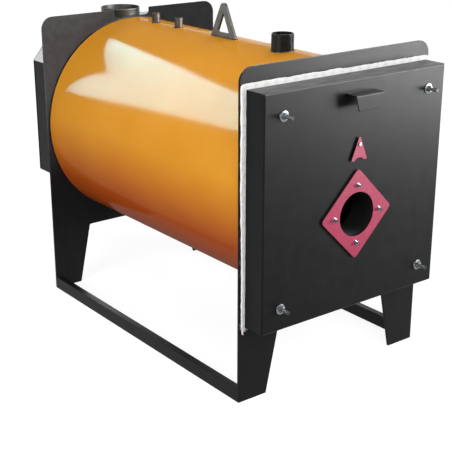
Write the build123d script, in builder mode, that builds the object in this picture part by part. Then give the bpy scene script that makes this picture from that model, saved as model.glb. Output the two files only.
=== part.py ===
"""Hot water boiler on plate legs, in millimetres.

The boiler lies along Y, its burner door faces -Y, and Z is up from the floor.
The origin is on the floor, at the middle of the whole object.
"""

import os
from math import radians, tan

from build123d import *

# Shell between the end plates, the size that the rest is built around
shell_length = 1934
shell_diameter = 1272
shell_wall = 8
shell_above_arch = 59

# End plates, which are also the legs
plate_thickness = 12
plate_side_margin = 14
plate_top_margin = 54
plate_corner_radius = 75
arch_height = 390
arch_corner_radius = 12
leg_top_width = 270
foot_width = 185

# Skid rails between the legs, of rectangular tube
rail_height = 75
rail_width = 40
rail_wall = 4

# Furnace tube behind the burner opening
furnace_diameter = 724
furnace_wall = 12
furnace_end_gap = 296
furnace_head_thickness = 14

# Door: a folded steel pan with a lining cast into it
door_side_margin = 30
door_top_margin = 105
door_bottom_margin = 42
door_depth = 135
door_sheet = 5
door_bend_radius = 7
lining_backset = 2

# Rope gasket squeezed between the door and the front plate
gasket_gap = 12
gasket_overhang = 25
gasket_seat_width = 18
gasket_edge_radius = 5
gasket_corner_radius = 30

# Studs, washers and nuts that hold the door
door_stud_side_inset = 120
door_stud_top_inset = 119
door_stud_diameter = 20
door_stud_reach = 66
door_stud_play = 2
door_washer_diameter = 56
door_washer_thickness = 5
door_nut_flats = 30
door_nut_height = 18

# Burner plate, a square turned on its corner
burner_axis_drop = 127
burner_bore_diameter = 240
burner_plate_side = 350
burner_plate_corner_radius = 20
burner_plate_thickness = 13
burner_stud_bore_gap = 37
burner_stud_diameter = 12
burner_stud_reach = 27

# Sight port, which looks in just under the furnace's top, with its swinging cover
sight_furnace_gap = 2
sight_tube_diameter = 44
sight_tube_wall = 4
sight_glass_thickness = 6
sight_glass_recess = 4
cover_pivot_rise = 47
cover_width = 106
cover_height = 122
cover_thickness = 5
cover_top_radius = 7
cover_foot_height = 5
cover_notch_width = 60
cover_notch_height = 14
cover_top_above_pivot = 40
cover_pivot_play = 0.5
cover_spacer_length = 8
cover_spacer_diameter = 22
cover_screw_diameter = 10
cover_screw_flats = 17
cover_screw_head_height = 6

# Hook-shaped door handle of bent plate
handle_top_margin = 66
handle_width = 195
handle_lower_width = 152
handle_drop = 80
handle_reach = 75
handle_sheet = 5
handle_bend_radius = 7
handle_corner_radius = 6

# Lifting lug on the shell
lug_ahead_of_middle = 6
lug_width = 222
lug_height = 196
lug_thickness = 15
lug_top_radius = 28
lug_foot_height = 12
lug_window_width = 108
lug_window_height = 115
lug_window_sill = 28
lug_window_radius = 5

# Flow nozzle, placed from the front plate, on top of the shell
nozzle_plate_distance = 444
nozzle_diameter = 124
nozzle_wall = 6
nozzle_height = 93

# Two instrument sockets, placed from the rear plate
middle_socket_plate_distance = 520
rear_socket_plate_distance = 276
socket_diameter = 49
socket_wall = 6
socket_height = 58

# How far the nozzle and the sockets reach into the shell
tube_inner_projection = 12

# Smoke box behind the rear plate, with its sloping hood
smoke_side_margin = 70
smoke_top_margin = 75
smoke_hood_rise = 231
smoke_hood_angle = 50
smoke_wall_height = 723
smoke_depth = 258
smoke_sheet = 5
smoke_cover_thickness = 6

# Flue collar on the hood
collar_side_gap = 3
collar_wall = 4
collar_height = 72

# Notch in the rear plate's top edge, through which the collar's front shows
collar_notch_gap = 8
collar_notch_sill = 8
collar_notch_corner_radius = 25

# How far a cutting tool runs past the face it leaves
cut_overrun = 20

# Heights, from the floor up through the shell to the plates' top edge
shell_radius = shell_diameter / 2
shell_axis_height = arch_height + shell_above_arch + shell_radius
shell_top_height = shell_axis_height + shell_radius
plate_height = shell_top_height + plate_top_margin
door_bottom_height = arch_height + door_bottom_margin
door_top_height = plate_height - door_top_margin
door_middle_height = (door_bottom_height + door_top_height) / 2
burner_axis_height = shell_axis_height - burner_axis_drop
sight_axis_rise = furnace_diameter / 2 - furnace_wall - sight_tube_diameter / 2 - sight_furnace_gap
sight_axis_height = burner_axis_height + sight_axis_rise
cover_pivot_height = sight_axis_height + cover_pivot_rise
handle_top_height = door_top_height - handle_top_margin
smoke_hood_top_height = plate_height - smoke_top_margin
smoke_wall_top_height = smoke_hood_top_height - smoke_hood_rise
smoke_bottom_height = smoke_wall_top_height - smoke_wall_height

# Widths and other sizes that follow from the ones above
plate_width = shell_diameter + 2 * plate_side_margin
arch_top_width = plate_width - 2 * leg_top_width
door_width = plate_width - 2 * door_side_margin
door_height = door_top_height - door_bottom_height
smoke_width = plate_width - 2 * smoke_side_margin
rail_offset = (plate_width - rail_width) / 2
burner_stud_circle = burner_bore_diameter + 2 * burner_stud_bore_gap
furnace_length = plate_thickness + shell_length - furnace_end_gap
collar_diameter = smoke_depth - 2 * collar_side_gap
collar_notch_width = collar_diameter + 2 * collar_notch_gap
collar_notch_depth = plate_top_margin - collar_notch_sill

# Places along Y, from the handle at the front to the smoke box cover
overall_length = (
    handle_reach + door_depth + gasket_gap + plate_thickness + shell_length
    + plate_thickness + smoke_depth + smoke_cover_thickness
)
door_front = handle_reach - overall_length / 2
door_back = door_front + door_depth
front_plate_front = door_back + gasket_gap
front_plate_back = front_plate_front + plate_thickness
rear_plate_front = front_plate_back + shell_length
rear_plate_back = rear_plate_front + plate_thickness
smoke_back = rear_plate_back + smoke_depth
burner_plate_front = door_front - burner_plate_thickness
nozzle_place = front_plate_back + nozzle_plate_distance
lug_place = (front_plate_back + rear_plate_front) / 2 - lug_ahead_of_middle
middle_socket_place = rear_plate_front - middle_socket_plate_distance
rear_socket_place = rear_plate_front - rear_socket_plate_distance
collar_place = rear_plate_back + smoke_depth / 2


def facing_front(place, side=0, height=0):
    """Plane across the boiler: its x is +X, its y is +Z, and it looks to -Y."""
    return Plane(origin=(side, place, height), x_dir=(1, 0, 0), z_dir=(0, -1, 0))


def end_plate_profile():
    """Plate with rounded shoulders, standing on two legs beside an arch."""
    half_width = plate_width / 2
    inner_foot = half_width - foot_width
    with BuildSketch() as profile:
        with BuildLine():
            Polyline(
                (-half_width, 0),
                (-half_width, plate_height),
                (half_width, plate_height),
                (half_width, 0),
                (inner_foot, 0),
                (arch_top_width / 2, arch_height),
                (-arch_top_width / 2, arch_height),
                (-inner_foot, 0),
                close=True,
            )
        make_face()
        shoulders = profile.vertices().sort_by(Axis.Y)[-2:]
        fillet(shoulders, radius=plate_corner_radius)
        arch_corners = [v for v in profile.vertices() if abs(v.Y - arch_height) < arch_corner_radius]
        fillet(arch_corners, radius=arch_corner_radius)
    return profile.sketch


def door_stud_points():
    """Four points near the corners of the door, as (across, height)."""
    across = door_width / 2 - door_stud_side_inset
    up = door_height / 2 - door_stud_top_inset
    return [
        (side * across, door_middle_height + level * up)
        for side in (-1, 1)
        for level in (-1, 1)
    ]


def cover_profile():
    """Tapered flap about its pivot, with a shallow arch in its lower edge."""
    bottom = cover_top_above_pivot - cover_height
    with BuildSketch() as profile:
        with Locations((0, bottom + cover_foot_height / 2)):
            Rectangle(cover_width, cover_foot_height)
        with Locations((0, cover_top_above_pivot - cover_top_radius)):
            Circle(cover_top_radius)
        make_hull()
        with Locations((0, bottom)):
            Ellipse(cover_notch_width / 2, cover_notch_height, mode=Mode.SUBTRACT)
    return profile.sketch


parts = []


def keep(piece, name):
    """Name a finished piece and remember it for the export."""
    piece.part.label = name
    parts.append(piece.part)


# Front end plate, open where the furnace tube passes through
with BuildPart() as front_end_plate:
    with BuildSketch(facing_front(front_plate_front)):
        add(end_plate_profile())
        with Locations((0, burner_axis_height)):
            Circle(furnace_diameter / 2, mode=Mode.SUBTRACT)
    extrude(amount=-plate_thickness)
keep(front_end_plate, "front_end_plate")

# Rear end plate, notched for the flue collar down to just above the shell
with BuildPart() as rear_end_plate:
    with BuildSketch(facing_front(rear_plate_front)):
        add(end_plate_profile())
        with Locations((0, plate_height)):
            RectangleRounded(
                collar_notch_width,
                2 * collar_notch_depth,
                collar_notch_corner_radius,
                mode=Mode.SUBTRACT,
            )
    extrude(amount=-plate_thickness)
keep(rear_end_plate, "rear_end_plate")

# Skid rails
for name, side in (("left_skid_rail", -1), ("right_skid_rail", 1)):
    with BuildPart() as rail:
        with BuildSketch(facing_front(front_plate_back)):
            with Locations((side * rail_offset, rail_height / 2)):
                Rectangle(rail_width, rail_height)
                Rectangle(rail_width - 2 * rail_wall, rail_height - 2 * rail_wall, mode=Mode.SUBTRACT)
        extrude(amount=-shell_length)
    keep(rail, name)

# Shell, pierced on top for the nozzle and the sockets
with BuildPart() as boiler_shell:
    with BuildSketch(facing_front(front_plate_back)):
        with Locations((0, shell_axis_height)):
            Circle(shell_radius)
            Circle(shell_radius - shell_wall, mode=Mode.SUBTRACT)
    extrude(amount=-shell_length)
    with BuildSketch(Plane.XY.offset(shell_axis_height)):
        with Locations((0, nozzle_place)):
            Circle(nozzle_diameter / 2)
        with Locations((0, middle_socket_place), (0, rear_socket_place)):
            Circle(socket_diameter / 2)
    extrude(amount=shell_radius + cut_overrun, mode=Mode.SUBTRACT)
keep(boiler_shell, "boiler_shell")

# Furnace tube and the head that closes its far end
with BuildPart() as furnace_tube:
    with BuildSketch(facing_front(front_plate_front)):
        with Locations((0, burner_axis_height)):
            Circle(furnace_diameter / 2)
            Circle(furnace_diameter / 2 - furnace_wall, mode=Mode.SUBTRACT)
    extrude(amount=-furnace_length)
keep(furnace_tube, "furnace_tube")

with BuildPart() as furnace_head:
    with BuildSketch(facing_front(front_plate_front + furnace_length - furnace_head_thickness)):
        with Locations((0, burner_axis_height)):
            Circle(furnace_diameter / 2 - furnace_wall)
    extrude(amount=-furnace_head_thickness)
keep(furnace_head, "furnace_head")

# Door pan: bent sheet, open at the back
with BuildPart() as door_pan:
    with BuildSketch(facing_front(door_back)):
        with Locations((0, door_middle_height)):
            Rectangle(door_width, door_height)
    extrude(amount=door_depth)
    front_face = door_pan.faces().sort_by(Axis.Y)[0]
    fillet(front_face.edges(), radius=door_bend_radius)
    with BuildSketch(facing_front(door_back)):
        with Locations((0, door_middle_height)):
            Rectangle(door_width - 2 * door_sheet, door_height - 2 * door_sheet)
    extrude(amount=door_depth - door_sheet, mode=Mode.SUBTRACT)
    with BuildSketch(facing_front(door_back)):
        with Locations((0, burner_axis_height)):
            Circle(burner_bore_diameter / 2)
        with Locations((0, sight_axis_height)):
            Circle(sight_tube_diameter / 2)
        with Locations(*door_stud_points()):
            Circle(door_stud_diameter / 2 + door_stud_play)
    extrude(amount=door_depth, mode=Mode.SUBTRACT)
keep(door_pan, "door_pan")

# Lining cast into the pan, raised inside the gasket
lining_width = door_width - 2 * door_sheet
lining_height = door_height - 2 * door_sheet
raised_width = door_width - 2 * gasket_seat_width
raised_height = door_height - 2 * gasket_seat_width
lining_back = front_plate_front - lining_backset
with BuildPart() as door_lining:
    with BuildSketch(facing_front(door_back)):
        with Locations((0, door_middle_height)):
            Rectangle(lining_width, lining_height)
    extrude(amount=door_depth - door_sheet)
    with BuildSketch(facing_front(lining_back)):
        with Locations((0, door_middle_height)):
            Rectangle(raised_width, raised_height)
    extrude(amount=lining_back - door_back)
    with BuildSketch(facing_front(lining_back)):
        with Locations((0, burner_axis_height)):
            Circle(burner_bore_diameter / 2)
        with Locations((0, sight_axis_height)):
            Circle(sight_tube_diameter / 2)
        with Locations(*door_stud_points()):
            Circle(door_stud_diameter / 2 + door_stud_play)
    extrude(amount=door_depth + gasket_gap, mode=Mode.SUBTRACT)
keep(door_lining, "door_lining")

# Rope gasket around the raised lining
with BuildPart() as door_gasket:
    with BuildSketch(facing_front(front_plate_front)):
        with Locations((0, door_middle_height)):
            RectangleRounded(
                door_width + 2 * gasket_overhang,
                door_height + 2 * gasket_overhang,
                gasket_corner_radius,
            )
            Rectangle(raised_width, raised_height, mode=Mode.SUBTRACT)
    extrude(amount=gasket_gap)
    flat_faces = door_gasket.faces().filter_by(Axis.Y)
    rims = [edge for face in flat_faces for edge in face.outer_wire().edges()]
    fillet(rims, radius=gasket_edge_radius)
keep(door_gasket, "door_gasket")

# Door studs, standing on the front plate and reaching through the door
with BuildPart() as door_studs:
    with BuildSketch(facing_front(front_plate_front)):
        with Locations(*door_stud_points()):
            Circle(door_stud_diameter / 2)
    extrude(amount=front_plate_front - door_front + door_stud_reach)
keep(door_studs, "door_studs")

with BuildPart() as door_washers:
    with BuildSketch(facing_front(door_front)):
        with Locations(*door_stud_points()):
            Circle(door_washer_diameter / 2)
            Circle(door_stud_diameter / 2, mode=Mode.SUBTRACT)
    extrude(amount=door_washer_thickness)
keep(door_washers, "door_washers")

with BuildPart() as door_nuts:
    with BuildSketch(facing_front(door_front - door_washer_thickness)):
        with Locations(*door_stud_points()):
            RegularPolygon(door_nut_flats / 2, 6, major_radius=False)
            Circle(door_stud_diameter / 2, mode=Mode.SUBTRACT)
    extrude(amount=door_nut_height)
keep(door_nuts, "door_nuts")

# Burner plate, and the four studs welded to its face
with BuildPart() as burner_plate:
    with BuildSketch(facing_front(door_front)):
        with Locations((0, burner_axis_height)):
            RectangleRounded(
                burner_plate_side, burner_plate_side, burner_plate_corner_radius, rotation=45
            )
            Circle(burner_bore_diameter / 2, mode=Mode.SUBTRACT)
    extrude(amount=burner_plate_thickness)
keep(burner_plate, "burner_plate")

with BuildPart() as burner_studs:
    with BuildSketch(facing_front(burner_plate_front)):
        with Locations((0, burner_axis_height)):
            with PolarLocations(burner_stud_circle / 2, 4):
                Circle(burner_stud_diameter / 2)
    extrude(amount=burner_stud_reach)
keep(burner_studs, "burner_studs")

# Sight tube through the door, with a glass near its front end
with BuildPart() as sight_tube:
    with BuildSketch(facing_front(lining_back)):
        with Locations((0, sight_axis_height)):
            Circle(sight_tube_diameter / 2)
            Circle(sight_tube_diameter / 2 - sight_tube_wall, mode=Mode.SUBTRACT)
    extrude(amount=lining_back - door_front)
keep(sight_tube, "sight_tube")

with BuildPart() as sight_glass:
    with BuildSketch(facing_front(door_front + sight_glass_recess)):
        with Locations((0, sight_axis_height)):
            Circle(sight_tube_diameter / 2 - sight_tube_wall)
    extrude(amount=-sight_glass_thickness)
keep(sight_glass, "sight_glass")

# Swinging cover in front of the sight port, on a spacer and a screw
cover_back = door_front - cover_spacer_length
cover_front = cover_back - cover_thickness
with BuildPart() as sight_cover_spacer:
    with BuildSketch(facing_front(door_front)):
        with Locations((0, cover_pivot_height)):
            Circle(cover_spacer_diameter / 2)
            Circle(cover_screw_diameter / 2, mode=Mode.SUBTRACT)
    extrude(amount=cover_spacer_length - cover_pivot_play)
keep(sight_cover_spacer, "sight_cover_spacer")

with BuildPart() as sight_cover:
    with BuildSketch(facing_front(cover_back, height=cover_pivot_height)):
        add(cover_profile())
        Circle(cover_screw_diameter / 2 + cover_pivot_play, mode=Mode.SUBTRACT)
    extrude(amount=cover_thickness)
keep(sight_cover, "sight_cover")

with BuildPart() as sight_cover_screw:
    with BuildSketch(facing_front(door_front)):
        with Locations((0, cover_pivot_height)):
            Circle(cover_screw_diameter / 2)
    extrude(amount=door_front - cover_front + cover_pivot_play)
    with BuildSketch(facing_front(cover_front - cover_pivot_play)):
        with Locations((0, cover_pivot_height)):
            RegularPolygon(cover_screw_flats / 2, 6, major_radius=False)
    extrude(amount=cover_screw_head_height)
keep(sight_cover_screw, "sight_cover_screw")

# Door handle: a shelf and a tapering flap, bent from one plate
with BuildPart() as door_handle:
    with BuildSketch(Plane.XY.offset(handle_top_height)):
        with Locations((0, door_front - handle_reach / 2)):
            Rectangle(handle_width, handle_reach)
    extrude(amount=-handle_sheet)
    with BuildSketch(facing_front(door_front - handle_reach, height=handle_top_height)):
        with BuildLine():
            Polyline(
                (-handle_width / 2, 0),
                (handle_width / 2, 0),
                (handle_lower_width / 2, -handle_drop),
                (-handle_lower_width / 2, -handle_drop),
                close=True,
            )
        flap = make_face()
        fillet(flap.vertices().sort_by(Axis.Y)[:2], radius=handle_corner_radius)
    extrude(amount=-handle_sheet)
    across = door_handle.edges().filter_by(Axis.X)
    fillet(across.group_by(Axis.Y)[0].sort_by(Axis.Z)[-1], radius=handle_bend_radius)
keep(door_handle, "door_handle")

# Lifting lug: an upright plate along the boiler with a triangular window
with BuildPart() as lifting_lug:
    with BuildSketch(Plane.YZ.shift_origin((0, lug_place, shell_top_height))):
        with Locations((0, lug_foot_height / 2)):
            Rectangle(lug_width, lug_foot_height)
        with Locations((0, lug_height - lug_top_radius)):
            Circle(lug_top_radius)
        make_hull()
        with BuildLine(mode=Mode.PRIVATE) as window:
            Polyline(
                (-lug_window_width / 2, lug_window_sill),
                (lug_window_width / 2, lug_window_sill),
                (0, lug_window_sill + lug_window_height),
                close=True,
            )
        make_face(window.line, mode=Mode.SUBTRACT)
    extrude(amount=lug_thickness / 2, both=True)
    fillet(lifting_lug.edges().filter_by(Axis.X), radius=lug_window_radius)
keep(lifting_lug, "lifting_lug")


def top_tube(name, place, diameter, wall, height):
    """Open tube set upright through the top of the shell."""
    bottom = shell_top_height - shell_wall - tube_inner_projection
    with BuildPart() as tube:
        with BuildSketch(Plane.XY.offset(bottom)):
            with Locations((0, place)):
                Circle(diameter / 2)
                Circle(diameter / 2 - wall, mode=Mode.SUBTRACT)
        extrude(amount=shell_top_height + height - bottom)
    keep(tube, name)


# Flow nozzle and instrument sockets
top_tube("flow_nozzle", nozzle_place, nozzle_diameter, nozzle_wall, nozzle_height)
top_tube("middle_socket", middle_socket_place, socket_diameter, socket_wall, socket_height)
top_tube("rear_socket", rear_socket_place, socket_diameter, socket_wall, socket_height)

# Smoke box corners, seen from the front, and the mitres between its sheets
smoke_half = smoke_width / 2
hood_run = smoke_hood_rise / tan(radians(smoke_hood_angle))
hood_half = smoke_half - hood_run
low_mitre = smoke_sheet * tan(radians((90 - smoke_hood_angle) / 2))
high_mitre = smoke_sheet * tan(radians(smoke_hood_angle / 2))
wall_foot = (smoke_half, smoke_bottom_height)
wall_top = (smoke_half, smoke_wall_top_height)
hood_edge = (hood_half, smoke_hood_top_height)
inner_foot = (smoke_half - smoke_sheet, smoke_bottom_height)
inner_top = (smoke_half - smoke_sheet, smoke_wall_top_height - low_mitre)
inner_edge = (hood_half - high_mitre, smoke_hood_top_height - smoke_sheet)

# Smoke box walls and hood slopes
for name, side, corners in (
    ("smoke_box_left_wall", -1, (wall_foot, wall_top, inner_top, inner_foot)),
    ("smoke_box_right_wall", 1, (wall_foot, wall_top, inner_top, inner_foot)),
    ("smoke_hood_left_slope", -1, (wall_top, hood_edge, inner_edge, inner_top)),
    ("smoke_hood_right_slope", 1, (wall_top, hood_edge, inner_edge, inner_top)),
):
    with BuildPart() as sheet:
        with BuildSketch(facing_front(rear_plate_back)):
            with BuildLine():
                Polyline(*[(side * across, height) for across, height in corners], close=True)
            make_face()
        extrude(amount=-smoke_depth)
    keep(sheet, name)

# Smoke box floor
with BuildPart() as smoke_box_floor:
    with BuildSketch(facing_front(rear_plate_back)):
        with Locations((0, smoke_bottom_height + smoke_sheet / 2)):
            Rectangle(smoke_width - 2 * smoke_sheet, smoke_sheet)
    extrude(amount=-smoke_depth)
keep(smoke_box_floor, "smoke_box_floor")

# Flat top of the hood, pierced for the flue collar
with BuildPart() as smoke_hood_top:
    with BuildSketch(facing_front(rear_plate_back)):
        with BuildLine():
            Polyline(
                (-hood_edge[0], hood_edge[1]),
                hood_edge,
                inner_edge,
                (-inner_edge[0], inner_edge[1]),
                close=True,
            )
        make_face()
    extrude(amount=-smoke_depth)
    with BuildSketch(Plane.XY.offset(smoke_hood_top_height)):
        with Locations((0, collar_place)):
            Circle(collar_diameter / 2)
    extrude(amount=-2 * smoke_sheet, mode=Mode.SUBTRACT)
keep(smoke_hood_top, "smoke_hood_top")

# Rear cover of the smoke box
with BuildPart() as smoke_box_cover:
    with BuildSketch(facing_front(smoke_back)):
        with BuildLine():
            Polyline(
                wall_foot,
                wall_top,
                hood_edge,
                (-hood_edge[0], hood_edge[1]),
                (-wall_top[0], wall_top[1]),
                (-wall_foot[0], wall_foot[1]),
                close=True,
            )
        make_face()
    extrude(amount=-smoke_cover_thickness)
keep(smoke_box_cover, "smoke_box_cover")

# Flue collar, set through the hood
with BuildPart() as flue_collar:
    with BuildSketch(Plane.XY.offset(smoke_hood_top_height - smoke_sheet)):
        with Locations((0, collar_place)):
            Circle(collar_diameter / 2)
            Circle(collar_diameter / 2 - collar_wall, mode=Mode.SUBTRACT)
    extrude(amount=smoke_sheet + collar_height)
keep(flue_collar, "flue_collar")

# One STEP file for each piece
os.makedirs("parts", exist_ok=True)
for part in parts:
    export_step(part, f"parts/{part.label}.step")
    size = part.bounding_box().size
    print(f"{part.label}: {size.X:.0f} x {size.Y:.0f} x {size.Z:.0f} mm")
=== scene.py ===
# %% [markdown]
# # A hot water boiler, from bare solids to painted steel
#
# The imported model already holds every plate, tube and sheet at its true size. This
# lesson gives those solids their finishes, and adds what a drawing leaves out: threads,
# chamfered nuts, weld beads and the rope that seals the door. All lengths are in metres,
# and the floor is at zero height. The burner door faces -Y.

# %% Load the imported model
from math import atan2, cos, pi, radians, sin, sqrt, tan
from random import Random

import bmesh
import bpy
from mathutils import Matrix, Vector, noise


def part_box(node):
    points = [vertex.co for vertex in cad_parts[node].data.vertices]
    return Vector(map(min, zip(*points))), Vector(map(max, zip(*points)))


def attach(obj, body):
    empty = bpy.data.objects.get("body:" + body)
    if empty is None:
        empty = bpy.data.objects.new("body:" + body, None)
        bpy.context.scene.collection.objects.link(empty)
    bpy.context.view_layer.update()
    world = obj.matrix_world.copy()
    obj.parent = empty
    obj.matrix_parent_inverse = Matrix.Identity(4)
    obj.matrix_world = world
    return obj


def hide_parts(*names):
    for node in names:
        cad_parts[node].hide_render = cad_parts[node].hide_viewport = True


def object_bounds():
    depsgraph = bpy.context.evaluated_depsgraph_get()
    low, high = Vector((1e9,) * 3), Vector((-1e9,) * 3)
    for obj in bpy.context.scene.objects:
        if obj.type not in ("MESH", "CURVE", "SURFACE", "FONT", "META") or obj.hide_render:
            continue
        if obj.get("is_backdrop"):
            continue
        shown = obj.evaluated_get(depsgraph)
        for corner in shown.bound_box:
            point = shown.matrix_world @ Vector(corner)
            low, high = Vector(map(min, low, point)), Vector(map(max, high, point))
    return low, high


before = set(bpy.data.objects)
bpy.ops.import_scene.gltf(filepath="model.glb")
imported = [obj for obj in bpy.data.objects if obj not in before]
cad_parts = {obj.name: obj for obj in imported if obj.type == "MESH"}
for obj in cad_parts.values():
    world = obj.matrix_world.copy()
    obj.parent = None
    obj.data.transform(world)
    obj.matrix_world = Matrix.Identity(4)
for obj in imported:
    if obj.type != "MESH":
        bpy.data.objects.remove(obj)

cad_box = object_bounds()
MM = 0.001
print(f"{len(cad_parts)} solids, {[round(v, 3) for v in cad_box[1] - cad_box[0]]} m in all")

# %% [markdown]
# ## Places on the boiler
#
# A weld or a nut has to sit where the solids meet. Each place could be typed in as a
# number, but then it would be wrong as soon as a plate moved. Here each one is read
# from the corners of the solid that carries it.

# %% Read the places from the solids
FRONT, BACK, UP = Vector((0, -1, 0)), Vector((0, 1, 0)), Vector((0, 0, 1))
shell_low, shell_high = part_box("boiler_shell")
shell_radius = (shell_high.x - shell_low.x) / 2
shell_middle_z = (shell_low.z + shell_high.z) / 2
print(f"shell radius {shell_radius:.3f} m, from y {shell_low.y:.3f} to {shell_high.y:.3f}")

# %% [markdown]
# ## The camera
#
# A long lens, about 84 mm on a 36 mm wide sensor, keeps the far end of the boiler
# nearly as large as the near end. The camera stands to the left of the door, at almost
# three metres' height, and looks down by about 20 degrees.

# %% Set up the camera
camera_place = (-3.6871, -4.8512, 2.7498)
raised_deg, turned_deg = 70.2458, -37.4957
camera_data = bpy.data.cameras.new("catalogue_camera")
camera_data.lens = 84.02
camera_data.sensor_width = 36
camera = bpy.data.objects.new("catalogue_camera", camera_data)
camera.location = camera_place
camera.rotation_euler = (radians(raised_deg), 0, radians(turned_deg))
bpy.context.scene.collection.objects.link(camera)
bpy.context.scene.camera = camera
print(f"camera {camera_data.lens:.1f} mm at {[round(v, 2) for v in camera.location]}")

# %% [markdown]
# ## Colours and nodes
#
# Paint makers give colours as hex codes, which are meant for a screen. Blender mixes
# light, so one function turns each code into linear values. A second small function
# adds a shader node: it sets properties by name, and its inputs take either a value or
# the output of another node. Sums with node outputs get a short form of their own.

# %% Colour and node helpers
def linear(code):
    """Linear red, green, blue and alpha of an sRGB hex code."""
    channels = [int(code[i:i + 2], 16) / 255 for i in (0, 2, 4)]
    return [c / 12.92 if c <= 0.04045 else ((c + 0.055) / 1.055) ** 2.4 for c in channels] + [1]


def add_node(tree, kind, inputs=None, **properties):
    """One shader node, with its properties set and its inputs filled or linked."""
    made = tree.nodes.new(kind)
    for name, value in properties.items():
        setattr(made, name, value)
    for name, value in (inputs or {}).items():
        if isinstance(value, bpy.types.NodeSocket):
            tree.links.new(value, made.inputs[name])
        else:
            made.inputs[name].default_value = value
    return made


def calculate(tree, operation, *values):
    """The result of one Math node."""
    return add_node(tree, "ShaderNodeMath", dict(enumerate(values)), operation=operation).outputs[0]


def new_finish(name, **settings):
    """A material with a Principled shader whose sockets are set by name."""
    material = bpy.data.materials.new(name)
    material.use_nodes = True
    shader = material.node_tree.nodes["Principled BSDF"]
    for socket, value in settings.items():
        shader.inputs[socket.replace("_", " ")].default_value = value
    return material, material.node_tree, shader


print("black paint as light:", [round(v, 4) for v in linear("0f1011")[:3]])

# %% [markdown]
# ## Patterns with a real size
#
# A noise texture's scale says how many lumps fit in a metre, so a lump of 3 mm needs a
# scale of about 333. Working that out from millimetres keeps a finish true when it is
# used on another part. Every pattern reads Object coordinates, which are metres here.
# Dust and drifts of colour need to know how high a point lies and which way it faces.

# %% Pattern helpers
def place(tree):
    """Where a point lies, in metres from the boiler's origin."""
    return add_node(tree, "ShaderNodeTexCoord").outputs["Object"]


def coordinate(tree, axis):
    """How far along one axis a point lies."""
    return add_node(tree, "ShaderNodeSeparateXYZ", {"Vector": place(tree)}).outputs[axis]


def facing(tree, axis):
    """How squarely a face looks along one axis, from -1 to 1."""
    normal = add_node(tree, "ShaderNodeNewGeometry").outputs["True Normal"]
    return add_node(tree, "ShaderNodeSeparateXYZ", {"Vector": normal}).outputs[axis]


def lumps(tree, size_mm, detail=3.0, roughness=0.5, stretch=(1, 1, 1)):
    """Noise whose lumps are about size_mm wide, drawn out along an axis if asked."""
    vector = add_node(tree, "ShaderNodeMapping", {"Vector": place(tree), "Scale": stretch})
    return add_node(tree, "ShaderNodeTexNoise", {
        "Vector": vector.outputs["Vector"], "Scale": 1 / (size_mm * MM),
        "Detail": detail, "Roughness": roughness}).outputs["Fac"]


def ramp(tree, factor, low, high, start=0.3, stop=0.7):
    """Factor remapped between two numbers."""
    return add_node(tree, "ShaderNodeMapRange", {
        "Value": factor, "From Min": start, "From Max": stop,
        "To Min": low, "To Max": high}).outputs["Result"]


def blend_colours(tree, factor, first, second):
    """Between two colours by factor. Each is a hex code or the output of a node."""
    mix = add_node(tree, "ShaderNodeMix", data_type="RGBA")
    tree.links.new(factor, mix.inputs["Factor"])
    for socket, colour in ((mix.inputs[6], first), (mix.inputs[7], second)):
        if isinstance(colour, str):
            socket.default_value = linear(colour)
        else:
            tree.links.new(colour, socket)
    return mix.outputs[2]


def mottled(tree, size_mm, first, second, **noise_settings):
    """Two colours in soft lumps of about size_mm."""
    return blend_colours(tree, ramp(tree, lumps(tree, size_mm, **noise_settings), 0, 1), first, second)


def bump(tree, shader, height, depth_mm, strength=1.0, edge_mm=0):
    """Turn a height into bumps, on edges that look rounded to edge_mm if asked."""
    made = add_node(tree, "ShaderNodeBump", {
        "Height": height, "Distance": depth_mm * MM, "Strength": strength})
    if edge_mm:
        soft = add_node(tree, "ShaderNodeBevel", {"Radius": edge_mm * MM}, samples=6)
        tree.links.new(soft.outputs["Normal"], made.inputs["Normal"])
    tree.links.new(made.outputs["Normal"], shader.inputs["Normal"])


def dress(material, *names):
    """Give CAD solids this finish."""
    for name in names:
        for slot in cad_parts[name].material_slots:
            slot.material = material


print("a 3 mm lump has scale", round(1 / (3 * MM)))

# %% [markdown]
# ## Satin black powder coat
#
# The front plate, the skid rails, the door and the smoke box are powder coated: dry
# paint powder melts on the steel into a tough skin with a fine orange peel, about 2 to
# 3 mm from lump to lump. It hides the metal, so it isn't metallic. Its sheen is soft,
# and the base is a neutral near-black that turns grey where it mirrors a lamp. The
# powder draws back from a sharp edge and rounds it, which the Bevel node imitates for
# the light. Faces that look up and lie high enough, such as the door's top face, are
# painted a lighter grey: a painted sheen for the light they catch from above.

# %% Powder coat
SQUARE_ON = 0.7
black_coat, tree, shader = new_finish("satin_black_powder_coat", Specular_IOR_Level=0.08)
clean = mottled(tree, 180, "0f1011", "151617", detail=4)
# painted sheen: high faces that look up get a lighter grey, standing in for light from above
painted_sheen = mottled(tree, 30, "464645", "6e6e6d", detail=5, stretch=(0.3, 1, 1))
sheen_from_height = 1.65
looks_up = calculate(tree, "GREATER_THAN", facing(tree, "Z"), SQUARE_ON)
is_high = calculate(tree, "GREATER_THAN", coordinate(tree, "Z"), sheen_from_height)
painted_sheen_mask = calculate(tree, "MULTIPLY", looks_up, is_high)
tree.links.new(blend_colours(tree, painted_sheen_mask, clean, painted_sheen), shader.inputs["Base Color"])
tree.links.new(ramp(tree, lumps(tree, 60), 0.34, 0.40), shader.inputs["Roughness"])
bump(tree, shader, lumps(tree, 2.6, detail=1), depth_mm=0.06, strength=0.35, edge_mm=4)
coated = ("front_end_plate", "left_skid_rail", "right_skid_rail", "door_pan", "door_handle",
          "smoke_box_left_wall", "smoke_box_right_wall", "smoke_box_floor", "smoke_box_cover")
dress(black_coat, *coated)
print("powder coat on", len(coated), "solids")
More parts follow.
